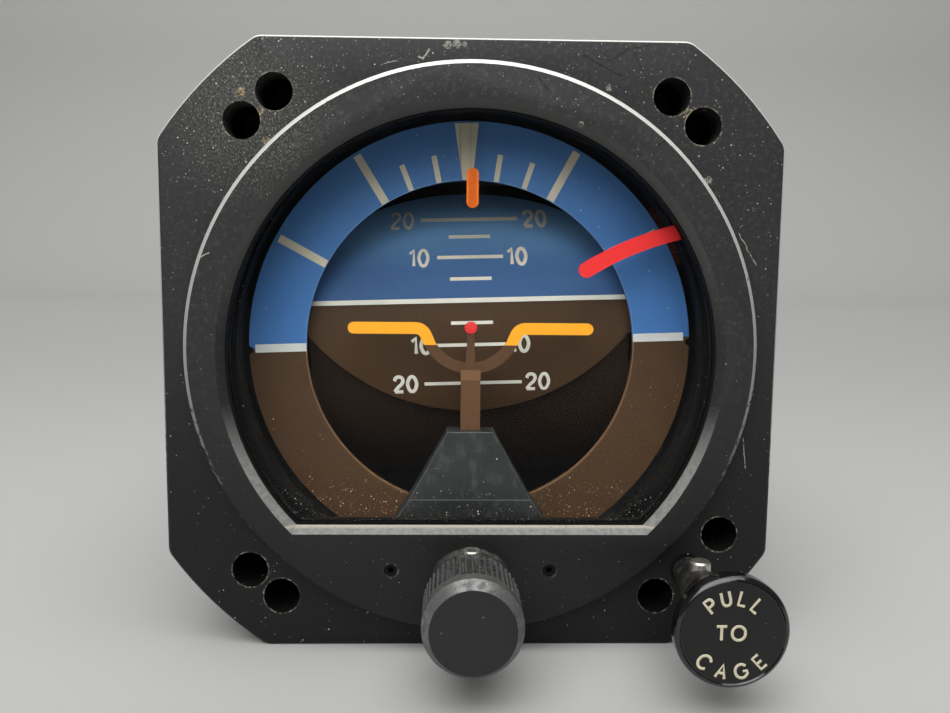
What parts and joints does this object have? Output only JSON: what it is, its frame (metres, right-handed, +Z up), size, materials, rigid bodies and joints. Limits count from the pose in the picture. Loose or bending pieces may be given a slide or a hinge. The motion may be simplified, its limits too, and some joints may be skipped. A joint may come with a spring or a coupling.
{
  "type": "attitude indicator",
  "caption": "Panel-mounted gyro attitude indicator: flanged bezel, round window cut off below, sky and ground dial, trim knob, pull-to-cage knob, long round case with rear connector.",
  "frame": {"origin": "centre of the mounting hole pattern: the roll axis in the plane of the flange's front face, which meets the back of the panel", "axes": "+Y into the instrument along the roll axis, away from the pilot; +Z up; +X to the pilot's right"},
  "size_m": [0.086, 0.1764, 0.0854],
  "materials": {
    "bezel_black": "satin black paint, worn to bare metal on the edges",
    "case_black": "fine matt black paint",
    "window_glass": "clear, polished",
    "gasket_rubber": "matt",
    "inner_black": "flat black",
    "clear_strip": "clear acrylic",
    "pointer_orange": "orange paint",
    "symbol_orange": "orange wings on a brown cradle, painted",
    "carrier_brown": "brown paint",
    "dial_paint": "sky blue over ground brown, matt paint",
    "shroud_brown": "dark brown, flat paint",
    "flag_red": "fluorescent red paint",
    "knob_black": "black anodised, rubbed",
    "cage_knob_black": "gloss black moulding",
    "steel": "plain steel",
    "brass": "machined",
    "gimbal_metal": "die cast, plain",
    "coil": "moulded, black",
    "board_green": "glass fibre board with parts",
    "connector_metal": "olive grey plating"
  },
  "bodies": {
    "case": {"bezel_casting": "bezel_black", "glass_gasket": "gasket_rubber", "window_glass": "window_glass", "glass_retainer": "inner_black", "dial_mask": "inner_black", "pointer_strip": "clear_strip", "bank_pointer": "pointer_orange", "symbol_guide": "inner_black", "face_setscrews": "steel", "pedestal_cover": "inner_black", "trim_bushing": "brass", "cage_bushing": "brass", "cage_tunnel": "case_black", "cage_spring": "steel", "plunger_guide": "brass", "plunger_spring": "steel", "flag_coil": "coil", "bearing_bulkhead": "gimbal_metal", "roll_bearings": "steel", "housing_can": "case_black", "can_screws": "steel", "circuit_board": "board_green", "board_posts": "brass", "brush_block": "coil", "rear_cover": "case_black", "connector_shell": "connector_metal", "connector_insert": "coil", "connector_pins": "brass", "pan_head_screws": "steel"},
    "trim": {"trim_knob": "knob_black", "trim_set_screw": "steel", "trim_shaft": "steel", "trim_shaft_clip": "steel", "trim_pinion": "brass"},
    "idler": {"idler_gear": "brass"},
    "symbol": {"symbol_carrier": "carrier_brown", "aircraft_symbol": "symbol_orange"},
    "cage": {"cage_knob": "cage_knob_black", "cage_set_screw": "steel", "cage_rod": "steel", "cage_spring_clip": "steel"},
    "plunger": {"cage_plunger": "steel"},
    "flag": {"warning_flag": "flag_red", "flag_shaft": "steel"},
    "roll_gimbal": {"roll_dial": "dial_paint", "fork_gimbal": "gimbal_metal", "pitch_bearings": "steel", "roll_shaft": "steel", "heart_cam": "steel", "slip_rings": "brass"},
    "gyro": {"pitch_drum": "dial_paint", "gyro_shroud": "shroud_brown", "trunnions": "steel", "rotor_case": "gimbal_metal", "rotor_case_cap": "gimbal_metal", "rotor_bearings": "steel", "stator": "steel"},
    "rotor": {"gyro_rotor": "brass"}
  },
  "joints": [
    {"name": "trim_turn", "type": "hinge", "parent": "case", "child": "trim", "pos_m": [0, 0, -0.0314], "axis": [0, 1, 0], "range_deg": [-119.4, 23.9]},
    {"name": "idler_turn", "type": "hinge", "parent": "case", "child": "idler", "pos_m": [0, 0, -0.025], "axis": [0, 1, 0], "range_deg": [-14.4, 71.7]},
    {"name": "symbol_lift", "type": "slide", "parent": "case", "child": "symbol", "axis": [0, 0, 1], "range_m": [-0.005, 0.001]},
    {"name": "cage_pull", "type": "slide", "parent": "case", "child": "cage", "axis": [0, -1, 0], "range_m": [0, 0.012], "stiffness_N_per_m": 300, "springref_m": -0.01, "deforming": ["cage_spring"]},
    {"name": "plunger_push", "type": "slide", "parent": "case", "child": "plunger", "axis": [-0.7071, 0, 0.7071], "range_m": [0, 0.00242], "deforming": ["plunger_spring"]},
    {"name": "flag_swing", "type": "hinge", "parent": "case", "child": "flag", "pos_m": [0.0304, 0, 0.01725], "axis": [0, 1, 0], "range_deg": [0, 60], "stiffness_Nm_per_rad": 0.000004, "springref_deg": -45.84},
    {"name": "roll", "type": "hinge", "parent": "case", "child": "roll_gimbal", "pos_m": [0, 0, 0], "axis": [0, 1, 0], "continuous": true},
    {"name": "pitch", "type": "hinge", "parent": "roll_gimbal", "child": "gyro", "pos_m": [0, 0.039, 0], "axis": [0.9997, 0, 0.0262], "range_deg": [-70.6, 99.4]},
    {"name": "rotor_spin", "type": "hinge", "parent": "gyro", "child": "rotor", "pos_m": [0, 0.039, 0], "axis": [-0.0254, 0.2487, 0.9683], "continuous": true}
  ],
  "couplings": [
    {"joint": "trim_turn", "follows": "symbol_lift", "rad_per_m": 416.67},
    {"joint": "idler_turn", "follows": "symbol_lift", "rad_per_m": -250},
    {"joint": "plunger_push", "follows": "cage_pull", "ratio": 0.2}
  ]
}
